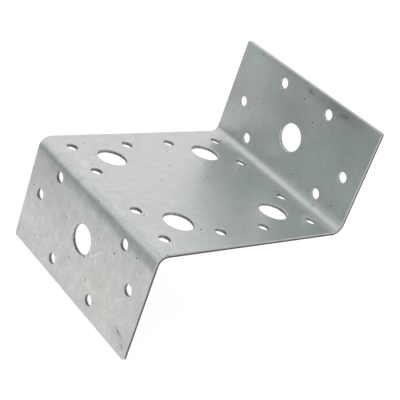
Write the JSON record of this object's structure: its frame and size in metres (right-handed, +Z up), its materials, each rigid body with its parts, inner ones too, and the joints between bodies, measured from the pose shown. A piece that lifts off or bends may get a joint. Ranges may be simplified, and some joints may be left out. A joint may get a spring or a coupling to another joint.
{
  "type": "z-shaped bracket",
  "caption": "Z-shaped bracket folded from one galvanised steel sheet: a level web with a flange down at one end and up at the other, punched for bolts and nails.",
  "frame": {"origin": "middle of the web, halfway through the sheet", "axes": "+X along the web from the lower flange to the upper one, +Y along the folds, +Z up, square to the web"},
  "size_m": [0.1014, 0.09, 0.0984],
  "materials": {
    "galvanised_steel": "hot-dip galvanised sheet: dull silver grey, faint streaks and specks, bare cut edges"
  },
  "bodies": {
    "root": {"z_bracket": "galvanised_steel"}
  },
  "joints": []
}
